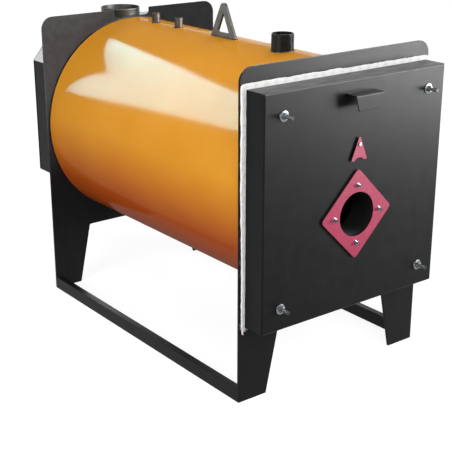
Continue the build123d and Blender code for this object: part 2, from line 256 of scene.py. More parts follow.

# %% [markdown]
# ## The rear plate's duller black
#
# The rear plate is brushed rather than powder coated, so it is rougher, with faint
# streaks that run downwards. Stretching the noise upwards makes the streaks. Its upper
# left part is painted a lighter grey, a painted sheen for the light it catches from
# above, and two ramps let that fade out downwards and to the right.

# %% Dull black
dull_black, tree, shader = new_finish("dull_black_paint", Specular_IOR_Level=0.085)
clean = mottled(tree, 90, "0f0f10", "19191a", detail=5, stretch=(1, 1, 0.35))
# painted sheen: a lighter grey on the upper left, standing in for light from above
painted_sheen = mottled(tree, 45, "47494b", "54565a", detail=5)
upwards = ramp(tree, coordinate(tree, "Z"), 0, 1, start=0.75, stop=1.3)
leftwards = ramp(tree, coordinate(tree, "X"), 1, 0.1, start=-0.35, stop=0.2)
painted_sheen_share = calculate(tree, "MULTIPLY", upwards, leftwards)
tree.links.new(blend_colours(tree, painted_sheen_share, clean, painted_sheen), shader.inputs["Base Color"])
tree.links.new(ramp(tree, lumps(tree, 40), 0.5, 0.6), shader.inputs["Roughness"])
bump(tree, shader, lumps(tree, 2.6, detail=2), depth_mm=0.08, strength=0.4)
dress(dull_black, "rear_end_plate")
print("dull black on the rear plate")

# %% [markdown]
# ## Orange enamel
#
# The shell is sprayed with a glossy two-pack enamel. Two layers make that look: a
# coloured base that scatters light, and a clear, hard gloss on top that mirrors the
# lamps sharply. Blender's Coat is that top layer. A very slight waviness of some 45 mm
# bends the mirror image, as rolled plate does. Towards the underside the orange drifts
# to a darker rust red: painted shade for the lower half, which gets less light.
# The drift follows height, and large lumps of noise keep its limit from being a line.

# %% Shell enamel
enamel, tree, shader = new_finish(
    "orange_gloss_enamel", Roughness=0.5, Specular_IOR_Level=0.0, Coat_Weight=0.09,
    Coat_Roughness=0.12, Coat_IOR=1.5)
orange = mottled(tree, 260, "cd8a26", "d2902e", detail=3)
wander = 80 * MM
height = calculate(tree, "MULTIPLY_ADD", lumps(tree, 300, detail=3), wander, coordinate(tree, "Z"))
# painted shade: the orange turns to a darker rust red towards the underside
painted_shade_below = ramp(tree, height, 1, 0, start=0.84, stop=1.22)
tree.links.new(blend_colours(tree, painted_shade_below, orange, "b8541e"), shader.inputs["Base Color"])
bump(tree, shader, lumps(tree, 45, detail=1), depth_mm=0.05, strength=0.2)
dress(enamel, "boiler_shell")
print("enamel on the shell")

# %% [markdown]
# ## Raspberry paint
#
# The burner plate and the sight cover are picked out in a raspberry red satin paint. It
# has no clear layer on top, so its shine is softer than the enamel's. A test on depth
# colours everything behind the front face near black: painted shade on the cut edges.

# %% Red paint
red_paint, tree, shader = new_finish("raspberry_satin_paint", Roughness=0.42, Specular_IOR_Level=0.2)
red = mottled(tree, 35, "ae2a54", "bc335e", detail=4)
# painted shade: behind the plate's front face, the cut edges are coloured near black
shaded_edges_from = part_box("burner_plate")[0].y + 0.4 * MM
painted_edge_shade = calculate(tree, "GREATER_THAN", coordinate(tree, "Y"), shaded_edges_from)
tree.links.new(blend_colours(tree, painted_edge_shade, red, "21151a"), shader.inputs["Base Color"])
bump(tree, shader, lumps(tree, 1.8, detail=2), depth_mm=0.08, strength=0.4)
dress(red_paint, "burner_plate", "sight_cover")
print("red paint on the burner plate and the cover")

# %% [markdown]
# ## Bare and plated metals
#
# Zinc plate is a thin bright layer with a faint cloudiness. The threaded rods get a
# darker zinc: painted shade for the grooves of their threads. Mill steel is darker,
# with long rolling marks and patches of scale. The furnace has been heated, which
# leaves it nearly black. All are metals, so they keep the default IOR and show their
# colour only in what they mirror. One function makes them all, from two colours, a
# roughness and the size of the patches.

# %% Metals
def metal(name, dark, light, rough, patch_mm, grain=(1, 1, 1), grain_mm=4):
    """A metal with cloudy patches, uneven roughness and a fine grain."""
    material, tree, shader = new_finish(name, Metallic=1.0)
    patches = mottled(tree, patch_mm, dark, light, detail=5, roughness=0.6)
    tree.links.new(patches, shader.inputs["Base Color"])
    fine = lumps(tree, grain_mm, detail=2, stretch=grain)
    tree.links.new(ramp(tree, fine, rough - 0.06, rough + 0.08), shader.inputs["Roughness"])
    bump(tree, shader, fine, depth_mm=0.03, strength=0.5)
    return material


zinc = metal("bright_zinc_plate", "606365", "a0a3a5", 0.25, 12, grain_mm=1.5)
# painted shade: the threaded rods get a darker zinc, standing in for shade in their grooves
shaded_thread_zinc = metal("shade_darkened_zinc_thread", "2e2f2f", "5c5e5f", 0.3, 8, grain_mm=1.5)
mill_steel = metal("bare_mill_steel", "4c4d4b", "6b6b68", 0.42, 40, grain=(1, 0.15, 1))
collar_steel = metal("blackened_collar_steel", "3c3c3b", "5b5b59", 0.4, 50)
socket_steel = metal("turned_socket_steel", "2b2826", "554f49", 0.5, 15, grain=(1, 1, 8), grain_mm=2)
heat_dark = metal("heat_darkened_steel", "2a2624", "3b3531", 0.55, 60)
weld_steel = metal("oxidised_weld_steel", "2a2320", "54463d", 0.5, 6, grain_mm=2)
lug_steel = metal("flame_cut_plate", "616261", "7c7d7b", 0.42, 40)
dress(heat_dark, "furnace_tube", "furnace_head")
print("eight metals made")

# %% [markdown]
# ## The lug's cut edges, and a light grey paint
#
# The lug was cut from plate with a flame: its two rolled faces are grey, and its cut
# edges are black. They are found by the direction they face, because the rolled faces
# look to the left and right. The smoke box's hood is light grey. That is a paint, so it
# isn't metallic.

# %% Lug and hood
tree = lug_steel.node_tree
base = tree.nodes["Principled BSDF"].inputs["Base Color"]
on_cut = calculate(tree, "LESS_THAN", calculate(tree, "ABSOLUTE", facing(tree, "X")), SQUARE_ON)
tree.links.new(blend_colours(tree, on_cut, base.links[0].from_socket, "2b2a29"), base)
dress(lug_steel, "lifting_lug")

hood_paint, tree, shader = new_finish("light_grey_paint", Specular_IOR_Level=0.1)
tree.links.new(mottled(tree, 70, "d0d1d1", "dcdddc", detail=4), shader.inputs["Base Color"])
tree.links.new(ramp(tree, lumps(tree, 30), 0.5, 0.6), shader.inputs["Roughness"])
bump(tree, shader, lumps(tree, 2.6, detail=1), depth_mm=0.06, strength=0.35)
dress(hood_paint, "smoke_hood_left_slope", "smoke_hood_right_slope", "smoke_hood_top")
print("lug and hood dressed")

# %% [markdown]
# ## Lining, glass and the dark inside
#
# The door lining is cast from a gritty cement with grains of up to 5 mm. Its colour is
# near black: painted shade for the inside of the openings, where little light reaches.
# The sight glass is a plain clear disc. Both are seen only through openings, but they
# get a finish of their own, because someone may take the door off.

# %% Lining and glass
lining, tree, shader = new_finish("cast_refractory", Roughness=0.92, Specular_IOR_Level=0.2)
grit = ramp(tree, lumps(tree, 5, detail=6, roughness=0.7), 0, 1)
# painted shade: the lining's near black stands in for the dark inside the openings
tree.links.new(blend_colours(tree, grit, "0c0b0a", "181716"), shader.inputs["Base Color"])
bump(tree, shader, grit, depth_mm=1.2, strength=0.6)
dress(lining, "door_lining")

glass, tree, shader = new_finish("clear_sight_glass", Transmission_Weight=1.0, IOR=1.47)
tree.links.new(ramp(tree, lumps(tree, 8), 0.02, 0.06), shader.inputs["Roughness"])
shader.inputs["Base Color"].default_value = linear("eaf3ef")
dress(glass, "sight_glass")
dress(mill_steel, "sight_tube")
print("lining and glass done")

# %% [markdown]
# ## From a bmesh to a piece of the boiler
#
# A bmesh is Blender's editable mesh. Each piece below starts from a few points or a
# circle and is shaped with bmesh operators. One function then merges doubles, turns the
# faces outwards, keeps hard edges hard, gives the piece its finish, hangs it on the body
# it moves with and hides the solid it stands in for. Round pieces are spun from an outline.

# %% Piece maker
def new_object(name, shape, material):
    """An object at the origin, made from a bmesh."""
    mesh = bpy.data.meshes.new(name)
    shape.to_mesh(mesh)
    shape.free()
    mesh.materials.append(material)
    made = bpy.data.objects.new(name, mesh)
    bpy.context.scene.collection.objects.link(made)
    return made


def make_piece(name, shape, finish, replaces=(), body="boiler", sharp_deg=35):
    """A finished object from a bmesh, riding on its body."""
    bmesh.ops.remove_doubles(shape, verts=shape.verts, dist=0.01 * MM)
    bmesh.ops.recalc_face_normals(shape, faces=shape.faces)
    piece = new_object(name, shape, finish)
    piece.data.shade_smooth()
    piece.data.set_sharp_from_angle(angle=radians(sharp_deg))
    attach(piece, body)
    if replaces:
        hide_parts(*replaces)
    print(f"{name}: {sum(len(face.vertices) - 2 for face in piece.data.polygons)} triangles")


def settle(work, shape, at, along):
    """Turn a shape's own height towards along, move it, and add it to a larger shape if given."""
    turn = UP.rotation_difference(Vector(along)).to_matrix().to_4x4()
    work.transform(Matrix.Translation(at) @ turn)
    if shape is None:
        return work
    mesh = bpy.data.meshes.new("part")
    work.to_mesh(mesh)
    work.free()
    shape.from_mesh(mesh)
    bpy.data.meshes.remove(mesh)
    return shape


def turned(points, turns=48, shape=None, at=(0, 0, 0), along=UP):
    """Spin (radius, height) points about an axis, as on a lathe, and set the result in place."""
    work = bmesh.new()
    chain = [work.verts.new((radius, 0, height)) for radius, height in points]
    edges = [work.edges.new(pair) for pair in zip(chain, chain[1:])]
    bmesh.ops.spin(work, geom=chain + edges, cent=(0, 0, 0), axis=UP, dvec=(0, 0, 0),
                   angle=2 * pi, steps=turns, use_merge=True, use_duplicate=False)
    bmesh.ops.remove_doubles(work, verts=work.verts, dist=0.005 * MM)
    return settle(work, shape, at, along)


print("piece maker ready")

# %% [markdown]
# ## Threads
#
# A thread is a helix. It could be cut with a screw modifier, but a simpler way is to
# turn a rod with many rings and then push each point in or out by where it lies on the
# helix: its height over the pitch, plus its angle as a part of a turn. The M20 studs
# have a pitch of 2.5 mm and the M12 studs 1.75 mm.

# %% Threaded rod
def threaded_rod(shape, at, length, radius, pitch, depth, chamfer, plain):
    """A rod that looks to -Y from its foot at `at`, plain at first and then threaded to its tip."""
    rings = 5
    points = [(0, 0), (radius, 0), (radius, plain)]
    height = plain
    while height < length - chamfer:
        height += pitch / rings
        points.append((radius, min(height, length - chamfer)))
    points += [(radius - chamfer, length), (0, length)]
    rod = turned(points, turns=20)
    for vert in rod.verts:
        reach = sqrt(vert.co.x ** 2 + vert.co.y ** 2)
        if reach > radius * 0.98 and vert.co.z > plain + pitch / rings / 2:
            turn = vert.co.z / pitch + atan2(vert.co.y, vert.co.x) / (2 * pi)
            groove = abs(2 * (turn % 1) - 1)
            vert.co.xy *= 1 - groove * depth / radius
    return settle(rod, shape, at, FRONT)


stud_low, stud_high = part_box("door_studs")
washer_low, washer_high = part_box("door_washers")
nut_low, nut_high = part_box("door_nuts")
stud_radius = 10 * MM
stud_spots = [Vector((x, 0, z)) for x in (stud_low.x + stud_radius, stud_high.x - stud_radius)
              for z in (stud_low.z + stud_radius, stud_high.z - stud_radius)]
studs = bmesh.new()
for spot in stud_spots:
    threaded_rod(studs, (spot.x, stud_high.y, spot.z), length=stud_high.y - stud_low.y, radius=stud_radius,
                 pitch=2.5 * MM, depth=1.3 * MM, chamfer=2 * MM, plain=stud_high.y - washer_high.y)
make_piece("door_studs_threaded", studs, shaded_thread_zinc, ["door_studs"])

# %% [markdown]
# ## Washers and nuts
#
# A pressed washer has a rounded rim on one side. A nut is a hexagon whose corners were
# cut by a cone on the lathe, which leaves a curved bright line on each flat. The cone
# is easy to copy: at each angle the hexagon's edge lies further out than a circle by a
# known amount, and the corner drops by that amount times the tangent of 30 degrees.

# %% Nut and washer shapes
def hex_nut(flats, height, bore, shape, at, closed=False):
    """A chamfered hexagon that looks to -Y from its foot at `at`, bored unless it is closed."""
    cone_share, step = 0.95, 1 * MM
    rim = flats / 2 * cone_share
    work = turned([(bore, 0), (rim, 0), (rim + step, step), (rim + step, height - step),
                   (rim, height), (0 if closed else bore, height)])
    for vert in work.verts:
        reach = sqrt(vert.co.x ** 2 + vert.co.y ** 2)
        if reach < rim + step / 2:
            continue
        angle = atan2(vert.co.y, vert.co.x) % radians(60) - radians(30)
        edge = flats / 2 / cos(angle)
        vert.co.xy *= edge / reach
        drop = (edge - rim) * tan(radians(30))
        vert.co.z = drop if vert.co.z < height / 2 else height - drop
    if not closed:
        bmesh.ops.bridge_loops(work, edges=[e for e in work.edges if e.is_boundary])
    return settle(work, shape, at, FRONT)


def washer(outer, inner, thick, shape, at):
    """A ring with a rounded outer rim."""
    soft = thick * 0.3
    points = [(inner, 0), (outer, 0), (outer, thick - soft), (outer - soft * 0.3, thick - soft * 0.3),
              (outer - soft, thick), (inner + soft * 0.5, thick), (inner, thick - soft * 0.5), (inner, 0)]
    return turned(points, shape=shape, at=at, along=FRONT)


washers, nuts = bmesh.new(), bmesh.new()
washer_radius = (washer_high.x - washer_low.x) / 2 - stud_spots[-1].x
m20_flats = 30 * MM
for spot in stud_spots:
    washer_foot, nut_foot = (spot.x, washer_high.y, spot.z), (spot.x, nut_high.y, spot.z)
    washer(washer_radius, stud_radius, washer_high.y - washer_low.y, washers, washer_foot)
    hex_nut(m20_flats, nut_high.y - nut_low.y, stud_radius, nuts, nut_foot)
make_piece("door_washers_rounded", washers, zinc, ["door_washers"])
make_piece("door_nuts_chamfered", nuts, zinc, ["door_nuts"], sharp_deg=20)

# %% [markdown]
# ## The burner plate's studs
#
# Four M12 studs stand on the red plate. Each one is delivered with a nut and a washer
# run down to the plate, ready for the burner's flange.

# %% Burner studs with their nuts
small_low, small_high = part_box("burner_studs")
burner_axis = Vector((0, 0, (small_low.z + small_high.z) / 2))
small_radius = 6 * MM
circle = (small_high.x - small_low.x) / 2 - small_radius
small_washer_radius, small_washer_thick = 12 * MM, 2.5 * MM
m12_flats, m12_height = 19 * MM, 10 * MM
small_studs, small_nuts = bmesh.new(), bmesh.new()
for quarter in range(4):
    angle = quarter * pi / 2
    spot = burner_axis + Vector((cos(angle) * circle, small_high.y, sin(angle) * circle))
    threaded_rod(small_studs, spot, length=small_high.y - small_low.y, radius=small_radius,
                 pitch=1.75 * MM, depth=0.9 * MM, chamfer=1.5 * MM, plain=1 * MM)
    washer(small_washer_radius, small_radius, small_washer_thick, small_nuts, spot)
    hex_nut(m12_flats, m12_height, small_radius, small_nuts, spot + FRONT * small_washer_thick)
make_piece("burner_studs_threaded", small_studs, shaded_thread_zinc, ["burner_studs"])
make_piece("burner_stud_nuts", small_nuts, zinc, sharp_deg=20)

# %% [markdown]
# ## The sight cover's screw
#
# The cover hangs from a hexagon screw and swings aside, so that the flame can be seen
# through the glass behind it. The screw stays with the door when the cover swings.

# %% Cover screw
screw_low, screw_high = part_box("sight_cover_screw")
screw_axis_z = (screw_low.z + screw_high.z) / 2
shank_radius, play = 5 * MM, 0.5 * MM
head_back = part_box("sight_cover")[0].y - play
shank = screw_high.y - head_back
screw = turned([(0, 0), (shank_radius, 0), (shank_radius, shank), (0, shank)], turns=32,
               at=(0, screw_high.y, screw_axis_z), along=FRONT)
head_flats, head_height = screw_high.z - screw_low.z, head_back - screw_low.y
hex_nut(head_flats, head_height, 0, screw, (0, head_back, screw_axis_z), closed=True)
make_piece("cover_screw_chamfered", screw, zinc, ["sight_cover_screw"], sharp_deg=20)
dress(zinc, "sight_cover_spacer")

# %% [markdown]
# ## Weld beads
#
# Welders lay a bead of small overlapping scales, about 4 mm apart, along each joint. A
# plain tube would look extruded, so each bead here is a thin tube in many short steps,
# and each ring of it is swelled or drawn in a little by noise. A round bead is a circle
# that is spun, a straight one is a circle that is extruded and subdivided.

# %% Bead shaper
bead_sides, weld_scale, bead_swell = 8, 4 * MM, 0.22


def ripple(shape, middle):
    """Swell and pinch a bead's points about its middle line."""
    for vert in shape.verts:
        core = middle(vert.co)
        swell = noise.noise(core / weld_scale) * 0.7 + noise.noise(core / (weld_scale * 3)) * 0.5
        vert.co = core + (vert.co - core) * (1 + bead_swell * swell)


def round_bead(centre, axis, radius, bead, steps, shape):
    """A bead all round a tube."""
    work = bmesh.new()
    ring = bmesh.ops.create_circle(work, segments=bead_sides, radius=bead)["verts"]
    bmesh.ops.rotate(work, verts=ring, cent=(0, 0, 0), matrix=Matrix.Rotation(pi / 2, 3, "X"))
    bmesh.ops.translate(work, verts=ring, vec=(radius, 0, 0))
    bmesh.ops.spin(work, geom=ring + list(work.edges), cent=(0, 0, 0), axis=UP, dvec=(0, 0, 0),
                   angle=2 * pi, steps=steps, use_merge=True, use_duplicate=False)
    ripple(work, lambda co: Vector((co.x, co.y, 0)).normalized() * radius)
    return settle(work, shape, centre, axis)


def straight_bead(start, stop, bead, shape):
    """A bead along a straight joint, with a flat cap at both ends."""
    run = Vector(stop) - Vector(start)
    work = bmesh.new()
    bmesh.ops.create_circle(work, cap_ends=True, segments=bead_sides, radius=bead)
    bmesh.ops.extrude_face_region(work, geom=list(work.faces))
    work.verts.ensure_lookup_table()
    bmesh.ops.translate(work, verts=work.verts[bead_sides:], vec=(0, 0, run.length))
    sides = [e for e in work.edges if abs(e.verts[0].co.z - e.verts[1].co.z) > run.length / 2]
    bmesh.ops.subdivide_edges(work, edges=sides, cuts=max(4, round(run.length / weld_scale)))
    ripple(work, lambda co: Vector((0, 0, co.z)))
    return settle(work, shape, start, run)


print("bead shapers ready")

# %% [markdown]
# ## Where the beads go
#
# The shell is welded to both plates all the way round, and painted over with them, so
# those two beads are black. So are the beads of the skid rails, the door's handle and
# the smoke box. A straight joint needs only its two ends.

# %% Black beads
black_beads = bmesh.new()
shell_bead, rail_bead, sheet_bead = 6 * MM, 3.5 * MM, 3 * MM
proud, clear, inwards = 1 * MM, 4 * MM, 2 * MM
from_plate, shell_steps = shell_bead * 0.6, 560
for y in (shell_low.y + from_plate, shell_high.y - from_plate):
    round_bead((0, y, shell_middle_z), BACK, shell_radius + proud, shell_bead, shell_steps, black_beads)

rail_low, rail_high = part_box("right_skid_rail")
for side in (-1, 1):
    near, far = side * rail_low.x, side * (rail_high.x - clear)
    inner, top = near - side * proud, rail_high.z + proud
    for y in (rail_low.y + inwards, rail_high.y - inwards):
        straight_bead((near, y, top), (far, y, top), rail_bead, black_beads)
        straight_bead((inner, y, clear), (inner, y, rail_high.z), rail_bead, black_beads)

handle_low, handle_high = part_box("door_handle")
left, right, back = handle_low.x + clear, handle_high.x - clear, handle_high.y - proud
handle_sheet = 5 * MM
for height in (handle_high.z, handle_high.z - handle_sheet):
    straight_bead((left, back, height), (right, back, height), sheet_bead, black_beads)

wall_low, wall_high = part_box("smoke_box_right_wall")
foot, head = wall_low.z + clear, wall_high.z - inwards
for x in (-wall_high.x, wall_high.x):
    for y in (wall_low.y + inwards, wall_high.y):
        straight_bead((x, y, foot), (x, y, head), sheet_bead, black_beads)
make_piece("painted_weld_beads", black_beads, black_coat, sharp_deg=60)

# %% [markdown]
# ## Bare beads on top of the shell
#
# The nozzle, the sockets and the lifting lug were welded on after the shell was rolled,
# and their beads are left bare. A bead round a tube on the shell follows the shell's
# curve: each of its points drops by as much as the shell does at that distance from
# the top.

# %% Bare beads
bare_beads = bmesh.new()
pipe_bead, lug_bead, past, fewest_steps, top = 4 * MM, 4.5 * MM, 2 * MM, 40, shell_high.z
for name in ("flow_nozzle", "middle_socket", "rear_socket"):
    low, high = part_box(name)
    radius = (high.x - low.x) / 2
    centre, steps = (0, (low.y + high.y) / 2, top), max(fewest_steps, round(radius / MM))
    round_bead(centre, UP, radius + proud, pipe_bead, steps, bare_beads)

lug_low, lug_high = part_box("lifting_lug")
for x in (lug_low.x - proud, lug_high.x + proud):
    straight_bead((x, lug_low.y, top), (x, lug_high.y, top), lug_bead, bare_beads)
left, right = lug_low.x - past, lug_high.x + past
for y in (lug_low.y - proud, lug_high.y + proud):
    straight_bead((left, y, top), (right, y, top), lug_bead, bare_beads)

for vert in bare_beads.verts:
    vert.co.z -= shell_radius - sqrt(shell_radius ** 2 - vert.co.x ** 2)
make_piece("bare_weld_beads", bare_beads, weld_steel, sharp_deg=60)

# %% [markdown]
# ## Nozzle and sockets
#
# The flow nozzle is a short black pipe with a shallow turned groove and a bevelled end
# for welding. The sockets are turned steel with an inner thread. All three are an
# outline that is spun. The threads are rings rather than a helix, because only their
# shadow shows from above.

# %% Pipe ends
def pipe_end(name, solid, finish, groove_at=0, thread=0):
    """A tube in place of a solid: bevelled at its top, with a groove or an inner thread if asked."""
    low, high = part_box(solid)
    radius, length, wall = (high.x - low.x) / 2, high.z - low.z, 6 * MM
    soft, slope, pitch, thread_depth = 0.8 * MM, 1 * MM, 1.8 * MM, 1.1 * MM
    bore, bevel = radius - wall, wall * 0.45
    points = [(bore, 0), (radius, 0)]
    if groove_at:
        bottom = radius - soft
        points += [(radius, groove_at - 2 * slope), (bottom, groove_at - slope),
                   (bottom, groove_at + slope), (radius, groove_at + 2 * slope)]
    points += [(radius, length - bevel), (radius - bevel, length), (bore + soft, length)]
    height = length - slope
    while height > length - thread:
        points += [(bore, height), (bore + thread_depth, height - pitch / 2)]
        height -= pitch
    points += [(bore, height), (bore, 0)]
    shape = turned(points, turns=64, at=((low.x + high.x) / 2, (low.y + high.y) / 2, low.z))
    make_piece(name, shape, finish, [solid], sharp_deg=30)


nozzle_paint, tree, shader = new_finish("nozzle_black_paint", Specular_IOR_Level=0.13)
tree.links.new(mottled(tree, 20, "131412", "1c1d1b", detail=4), shader.inputs["Base Color"])
tree.links.new(ramp(tree, lumps(tree, 12), 0.22, 0.3), shader.inputs["Roughness"])
bump(tree, shader, lumps(tree, 3, detail=2), depth_mm=0.1, strength=0.4)
pipe_end("flow_nozzle_bevelled", "flow_nozzle", nozzle_paint, groove_at=86 * MM)
pipe_end("middle_socket_threaded", "middle_socket", socket_steel, thread=34 * MM)
pipe_end("rear_socket_threaded", "rear_socket", socket_steel, thread=34 * MM)

# %% [markdown]
# ## Flue collar
#
# The flue collar is rolled from sheet, and the chimney's pipe slips over it. Its top
# centimetre stands out a little, which stiffens the rim. An outline that is spun shows
# the step and both rounded corners with a handful of points.

# %% Rolled collar
collar_low, collar_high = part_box("flue_collar")
rim, length = (collar_high.x - collar_low.x) / 2, collar_high.z - collar_low.z
sheet, lip, lip_height, slope, soft_outside, soft_inside = 4 * MM, 1 * MM, 10 * MM, 2 * MM, 1.5 * MM, 1 * MM
inside, outside = rim - sheet, rim - lip
collar = turned([
    (inside, 0), (outside, 0), (outside, length - lip_height - slope), (rim, length - lip_height),
    (rim, length - soft_outside), (rim - soft_outside, length), (inside + soft_inside, length),
    (inside, length - soft_inside), (inside, 0)],
    turns=96, at=(0, (collar_low.y + collar_high.y) / 2, collar_low.z))
make_piece("flue_collar_rolled", collar, collar_steel, ["flue_collar"], sharp_deg=30)

# %% [markdown]
# ## The rope seal
#
# A rope of white ceramic fibre is squeezed between the door and the front plate. It was
# round once, and is now a flat cushion that bulges out past the door. It could be drawn
# as a flat band, but its uneven edge and stray hairs are what make it read as fibre. The
# work starts with its cross-section: a circle, stretched to the rope's width and
# thickness. Powers below 1 push its points out, which makes it fuller.

# %% The rope's cross-section
rope_low, rope_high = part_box("door_gasket")
rope_thick = rope_high.y - rope_low.y
rope_middle_y, rope_middle_z = (rope_low.y + rope_high.y) / 2, (rope_low.z + rope_high.z) / 2
rope_width = 43 * MM
edge_x, edge_z = (rope_high.x - rope_low.x) / 2, (rope_high.z - rope_low.z) / 2
half_across, half_up = edge_x - rope_width / 2, edge_z - rope_width / 2
seal = bmesh.new()
section = bmesh.ops.create_circle(seal, segments=20, radius=1)["verts"]
edge_power, face_power = 0.75, 0.6
for vert in section:
    across, depth = vert.co.x, vert.co.y
    vert.co = Vector((half_across, rope_middle_y, rope_middle_z)) + Vector((
        rope_width / 2 * abs(across) ** edge_power * (1 if across > 0 else -1),
        rope_thick / 2 * abs(depth) ** face_power * (1 if depth > 0 else -1), 0))
print(f"the rope is {rope_width / MM:.0f} x {rope_thick / MM:.0f} mm")

# %% [markdown]
# ## Round the door
#
# Spin carries the section along the four sides and round the corners. It moves along a
# line when its angle is zero. The rope starts and ends in the middle of the right side.

# %% Sweep along straight runs and corners
def sweep(shape, ring, moves):
    """Carry a ring along moves: ("run", vector, steps) or ("turn", centre, angle, steps)."""
    for kind, *values in moves:
        centre, angle, step = (0, 0, 0), 0, (0, 0, 0)
        if kind == "run":
            vector, steps = values
            step = vector / steps
        else:
            centre, angle, steps = values
        ring = bmesh.ops.spin(shape, geom=ring, cent=centre, axis=BACK, dvec=step, angle=angle,
                              steps=steps, use_merge=False, use_duplicate=False)["geom_last"]


inner_corner, step_length, first_steps, corner_steps = 4 * MM, 8 * MM, 70, 7
corner = rope_width / 2 + inner_corner
hub_x, hub_z = half_across - corner, half_up - corner
moves = [("run", Vector((0, 0, hub_z)), first_steps)]
runs = (Vector((-2 * hub_x, 0, 0)), Vector((0, 0, -2 * hub_z)),
        Vector((2 * hub_x, 0, 0)), Vector((0, 0, hub_z)))
for (sx, sz), run in zip(((1, 1), (-1, 1), (-1, -1), (1, -1)), runs):
    hub = (sx * hub_x, rope_middle_y, rope_middle_z + sz * hub_z)
    moves.append(("turn", hub, -pi / 2, corner_steps))
    moves.append(("run", run, round(run.length / step_length)))
sweep(seal, section + list(seal.edges), moves)
bmesh.ops.remove_doubles(seal, verts=seal.verts, dist=0.2 * MM)
print(len(seal.verts), "points in the seal")

# %% [markdown]
# ## The rope's uneven edge
#
# A clean sweep looks like plastic. So its points are pushed: the corners squarer, the
# left side fuller above than below, and noise of three sizes for the uneven edge. Each
# point is moved away from the rope's middle line, found from the corner it lies near.

# %% Push the rope's points
def clamp(value, low, high):
    """The value, kept between low and high."""
    return max(low, min(high, value))


squareness = 6
waves = ((13, 0.16), (41, 0.10), (120, 0.06))  # lumps in a metre, and how far each swells the rope
fuller_share, lost_share, thins_from, thins_over = 0.16, 0.42, 0.2, 0.6
dimple, dimple_depth, bulge = 6 * MM, 0.7 * MM, 0.8 * MM
plate_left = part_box("front_end_plate")[0].x
for vert in seal.verts:
    flat = Vector((vert.co.x, 0, vert.co.z - rope_middle_z))
    hub = Vector((clamp(flat.x, -hub_x, hub_x), 0, clamp(flat.z, -hub_z, hub_z)))
    out = (flat - hub).normalized()
    across = (flat - hub).length - corner
    core = hub + out * corner
    swell = 1 + sum(strength * noise.noise(core * per_metre) for per_metre, strength in waves)
    if flat.x < 0:
        swell += fuller_share - lost_share * clamp((thins_from - flat.z) / thins_over, 0, 1)
    share = clamp(across / rope_width + 0.5, 0, 1)
    if across > 0:
        across *= swell
    squarer = (abs(out.x) ** squareness + abs(out.z) ** squareness) ** (-1 / squareness)
    flat = hub + out * (corner + across) * (1 + (squarer - 1) * share)
    vert.co.x = max(flat.x, plate_left)
    vert.co.z = flat.z + rope_middle_z
    vert.co.y += noise.noise(vert.co / dimple) * dimple_depth
    vert.co.y = clamp(vert.co.y, rope_low.y - bulge, rope_high.y)
print("left edge at x", round(min(vert.co.x for vert in seal.verts), 4))

# %% [markdown]
# ## Fibre finish
#
# Ceramic fibre is white, fully rough and a little translucent at its edge, which Sheen
# imitates. It is plaited, so two sets of slanted cords cross each other, about 44 mm
# from crest to crest: two waves at right angles draw them, and the higher one wins. A
# Wave texture of scale 1 repeats 20 times in 2 pi metres, so the scale comes from that.

# %% Fibre material
fibre, tree, shader = new_finish("white_ceramic_fibre", Roughness=1.0, Specular_IOR_Level=0.1,
                                 Sheen_Weight=0.6, Sheen_Roughness=0.6)
cord_spacing = 44 * MM
cords = []
for slant in (pi / 4, -pi / 4):
    slanted = add_node(tree, "ShaderNodeMapping", {"Vector": place(tree), "Rotation": (0, slant, 0)})
    cords.append(add_node(tree, "ShaderNodeTexWave", {
        "Vector": slanted.outputs["Vector"], "Scale": 2 * pi / 20 / cord_spacing,
        "Distortion": 1.2, "Detail": 2.0, "Detail Scale": 4.0}).outputs["Fac"])
fluff = lumps(tree, 3, detail=6, roughness=0.8)
weave = calculate(tree, "ADD", calculate(tree, "MAXIMUM", *cords), fluff)
white = blend_colours(tree, ramp(tree, weave, 0, 1, start=0.5, stop=1.5), "efeeec", "fdfdfc")
tree.links.new(white, shader.inputs["Base Color"])
bump(tree, shader, weave, depth_mm=1.5, strength=0.5)
make_piece("rope_seal", seal, fibre, ["door_gasket"], sharp_deg=180)

# %% [markdown]
# ## Stray hairs
#
# A stray hair is a thin cone bent along its length. A particle system could grow hairs,
# but a loop with a fixed random seed gives the same mesh each time. Hairs stick out along
# the left side, the top and the bottom. The rope's frayed ends show as three tufts at the
# left corners.

# %% Hairs and tufts
def hair(shape, start, direction, length, thick, bend):
    """One bent fibre that thins towards its tip."""
    work = bmesh.new()
    bmesh.ops.create_cone(work, cap_ends=True, segments=5, radius1=thick, radius2=thick * 0.25, depth=length)
    bmesh.ops.translate(work, verts=work.verts, vec=(0, 0, length / 2))
    sides = [e for e in work.edges if abs(e.verts[0].co.z - e.verts[1].co.z) > length / 2]
    bmesh.ops.subdivide_edges(work, edges=sides, cuts=4)
    for vert in work.verts:
        share = vert.co.z / length
        wave = 0.3 * noise.noise(Vector((share * 3, start[0] * 50, start[2] * 50)))
        vert.co.x += (bend * share + wave) * share * length / 2
    settle(work, shape, start, direction)


chance = Random(7)
hairs = bmesh.new()
loose_hairs, inset, fine, coarse = 150, 3 * MM, 0.4 * MM, 1.1 * MM
wildness, tuft_spread = 0.9, 0.22
for _ in range(loose_hairs):
    side = chance.choice("llltb")
    along = chance.uniform(-1, 1)
    sx, sz = {"l": (-1, along), "t": (along, 1), "b": (along, -1)}[side]
    start = (sx * (edge_x - inset), chance.uniform(rope_low.y + inset, rope_high.y - inset),
             rope_middle_z + sz * (edge_z - inset))
    out = Vector((-1, 0, 0)) if side == "l" else Vector((0, 0, sz))
    lean = Vector((chance.uniform(-1, 1), chance.uniform(-0.4, 0), chance.uniform(-1, 1)))
    length, bend = chance.uniform(6, 14) * MM, chance.uniform(-1, 1)
    hair(hairs, start, (out + lean * wildness).normalized(), length, fine, bend)

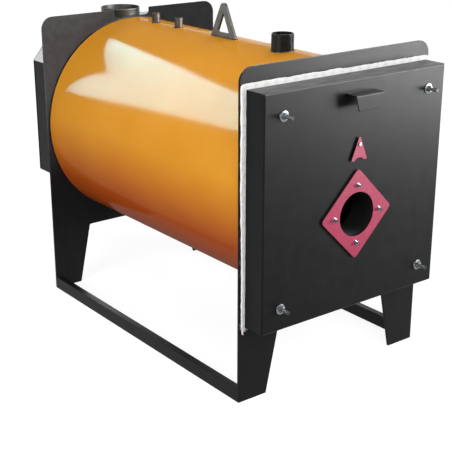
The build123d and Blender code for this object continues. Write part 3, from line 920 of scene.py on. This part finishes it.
tufts = (
    {"hairs": 22, "in": 11 * MM, "z": rope_low.z + 6 * MM, "towards": (0.08, 0, -1), "longest": 22 * MM},
    {"hairs": 12, "in": 20 * MM, "z": rope_low.z + 4 * MM, "towards": (1, 0, -0.25), "longest": 24 * MM},
    {"hairs": 12, "in": 2 * MM, "z": rope_high.z - 12 * MM, "towards": (-0.6, 0, 0.5), "longest": 9 * MM})
for tuft in tufts:
    for _ in range(tuft["hairs"]):
        spread = Vector((chance.uniform(-1, 1), chance.uniform(-0.6, 0.2), chance.uniform(-1, 1)))
        start = (rope_low.x + tuft["in"] + chance.uniform(-4, 4) * MM,
                 chance.uniform(rope_low.y + 2 * MM, rope_middle_y), tuft["z"] + chance.uniform(-3, 3) * MM)
        length, bend = chance.uniform(0.5, 1) * tuft["longest"], chance.uniform(-0.5, 0.5)
        direction = (Vector(tuft["towards"]).normalized() + spread * tuft_spread).normalized()
        hair(hairs, start, direction, length, coarse, bend)
make_piece("stray_fibres", hairs, fibre, sharp_deg=180)

# %% [markdown]
# ## The studio
#
# A plain pale floor, a white surround and a few soft lamps show the boiler. The floor
# and the surround are white to the camera, and to glossy and see-through rays, by
# Light Path, so the object itself isn't over-lit. Scattered light meets a darker, warm
# floor instead, which keeps the underside deep. The floor keeps a faint shadow.

# %% Floor and surround
def seen_rays(tree):
    """1 for rays from the camera and for mirror and see-through rays, 0 for scattered light."""
    path = add_node(tree, "ShaderNodeLightPath").outputs
    direct = calculate(tree, "MAXIMUM", path["Is Camera Ray"], path["Is Glossy Ray"])
    return calculate(tree, "MAXIMUM", direct, path["Is Transmission Ray"])


def empty_tree(owner):
    """The node tree of a material or world, with nothing in it yet."""
    owner.use_nodes = True
    owner.node_tree.nodes.clear()
    return owner.node_tree


floor_paint = bpy.data.materials.new("pale_floor")
tree = empty_tree(floor_paint)
lit = add_node(tree, "ShaderNodeBsdfDiffuse", {"Color": linear("5c463a")})
faint = add_node(tree, "ShaderNodeBsdfDiffuse", {"Color": linear("8c8c8c")})
away = add_node(tree, "ShaderNodeVectorMath", {0: place(tree)}, operation="LENGTH").outputs["Value"]
glow = add_node(tree, "ShaderNodeEmission", {
    "Color": linear("ffffff"), "Strength": ramp(tree, away, 0.86, 1.0, start=2.0, stop=5.0)})
mirrored = add_node(tree, "ShaderNodeEmission", {"Color": linear("ffffff"), "Strength": 1.0})
seen = add_node(tree, "ShaderNodeAddShader", {0: faint.outputs[0], 1: glow.outputs[0]})
from_camera = add_node(tree, "ShaderNodeLightPath").outputs["Is Camera Ray"]
shown = add_node(tree, "ShaderNodeMixShader", {0: from_camera, 1: mirrored.outputs[0], 2: seen.outputs[0]})
chosen = add_node(tree, "ShaderNodeMixShader", {0: seen_rays(tree), 1: lit.outputs[0], 2: shown.outputs[0]})
add_node(tree, "ShaderNodeOutputMaterial", {"Surface": chosen.outputs[0]})

shape = bmesh.new()
bmesh.ops.create_grid(shape, x_segments=4, y_segments=4, size=30)
floor = new_object("studio_floor", shape, floor_paint)
floor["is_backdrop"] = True

world = bpy.data.worlds.new("white_surround")
bpy.context.scene.world = world
tree = empty_tree(world)
strength = ramp(tree, seen_rays(tree), 0.06, 1.0, start=0, stop=1)
sky = add_node(tree, "ShaderNodeBackground", {"Color": linear("ffffff"), "Strength": strength})
add_node(tree, "ShaderNodeOutputWorld", {"Surface": sky.outputs[0]})
print("floor and surround ready")

# %% [markdown]
# ## Lamps
#
# Five softboxes light the boiler: one to the right of the door, one above, one on the
# left, one in front and one behind. Black paint shows mostly what it mirrors, so three
# cards stand where it mirrors them and reach glossy rays alone. They give the door its
# slope from dark to light, and the shell a bright top line.

# %% Softboxes
def softbox(name, location, target, size, watts, only_mirrored=False):
    """A rectangular lamp, wide and high as size says, that looks at a target point."""
    data = bpy.data.lights.new(name, "AREA")
    data.shape, data.size, data.size_y = "RECTANGLE", size[0], size[1]
    data.energy = watts
    lamp = bpy.data.objects.new(name, data)
    lamp.location = location
    lamp.rotation_euler = (Vector(target) - Vector(location)).to_track_quat("-Z", "Y").to_euler()
    lamp.visible_camera = False
    if only_mirrored:
        lamp.visible_diffuse = False
        lamp.visible_transmission = False
    bpy.context.scene.collection.objects.link(lamp)
    return lamp


softbox("key_softbox", (4.05, -4.3, 1.5), (0, -1.1, 1.1), (2.8, 2.0), 205)
softbox("overhead_softbox", (1.5, 0.3, 4.4), (0, 0, 1.4), (2.4, 3.0), 58)
softbox("left_fill", (-4.8, -1.1, 2.8), (-0.4, -0.1, 1.1), (2.4, 3.0), 215)
softbox("front_softbox", (-1.8, -5.4, 4.2), (-0.2, -1.0, 1.2), (2.4, 1.6), 150)
softbox("rear_softbox", (-1.5, 6.0, 3.2), (0, 1.2, 1.0), (2.4, 1.8), 70)
door_card = softbox("door_card", (4.15, -4.4, 1.5), (0, -1.1, 1.1), (2.8, 2.0), 520, only_mirrored=True)
high_card = softbox("high_card", (3.4, -4.6, 3.5), (0, -0.8, 1.4), (2.4, 1.8), 1100, only_mirrored=True)
softbox("rim_card", (3.9, 5.6, 1.6), (0, 0, 1.6), (4.0, 2.6), 130, only_mirrored=True)

# %% [markdown]
# ## Cards that reach some pieces only
#
# Two of the cards are strong enough to burn out the door's bright fasteners and the
# rear plate. A photographer would shade those with small flags. Light linking does the
# same here: it says which pieces a lamp reaches, or which ones it leaves out.

# %% Light linking
def link_light(lamp, pieces, state="INCLUDE"):
    """Let a lamp reach only these pieces, or all but these."""
    group = bpy.data.collections.new(lamp.name + "_link")
    for piece in pieces:
        group.objects.link(piece)
    for entry in group.collection_objects:
        entry.light_linking.link_state = state
    lamp.light_linking.receiver_collection = group


fasteners = ("door_studs_threaded", "door_washers_rounded", "door_nuts_chamfered")
shaded = [bpy.data.objects[name] for name in fasteners] + [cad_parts["rear_end_plate"]]
for card in (door_card, high_card):
    link_light(card, shaded, "EXCLUDE")
print(len(shaded), "pieces left out of two cards")

# %% [markdown]
# ## The mirrored softbox
#
# The long cream-white patch on the shell is a lamp's mirror image. Its outline is a
# slanted shape with a step at its near end, as when two softboxes overlap. A lamp can
# only be a rectangle or an ellipse, so this one is a glowing panel that lights the
# shell alone. Its corners, across and up, are placed so that their mirror images
# outline the patch.

# %% Glowing panel
panel_y, panel_strength = 6.0, 72
panel_corners = [(-3.53, 2.51), (-2.34, 4.56), (-0.96, 4.99), (0.66, 4.89), (-0.17, 5.95),
                 (-1.44, 7.0), (-2.9, 8.2), (-6.2, 8.2), (-4.88, 5.27), (-4.27, 3.96)]
panel_glow = bpy.data.materials.new("panel_glow")
tree = empty_tree(panel_glow)
glow = add_node(tree, "ShaderNodeEmission", {"Color": linear("a0f4ff"), "Strength": panel_strength})
add_node(tree, "ShaderNodeOutputMaterial", {"Surface": glow.outputs[0]})

shape = bmesh.new()
bmesh.ops.contextual_create(shape, geom=[shape.verts.new((x, panel_y, z)) for x, z in panel_corners])
panel = new_object("mirrored_panel", shape, panel_glow)
panel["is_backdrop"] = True
panel.visible_camera = panel.visible_diffuse = panel.visible_shadow = panel.visible_transmission = False
link_light(panel, [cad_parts["boiler_shell"]])
print("mirrored panel with", len(panel_corners), "corners")

# %% [markdown]
# ## The last checks
#
# The Standard view shows each colour about as it is written. Then the box round all
# pieces is measured again and kept beside the first one. The rope, which is cloth, can
# stand a few millimetres past the solids.

# %% View and sizes
bpy.context.scene.view_settings.view_transform = "Standard"
sizes = {"cad": [list(v) for v in cad_box], "visual": [list(v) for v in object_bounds()]}
for corner_name, was, now in zip(("low", "high"), sizes["cad"], sizes["visual"]):
    print(corner_name, "corner moved by", [round((b - a) / MM, 1) for a, b in zip(was, now)], "mm")
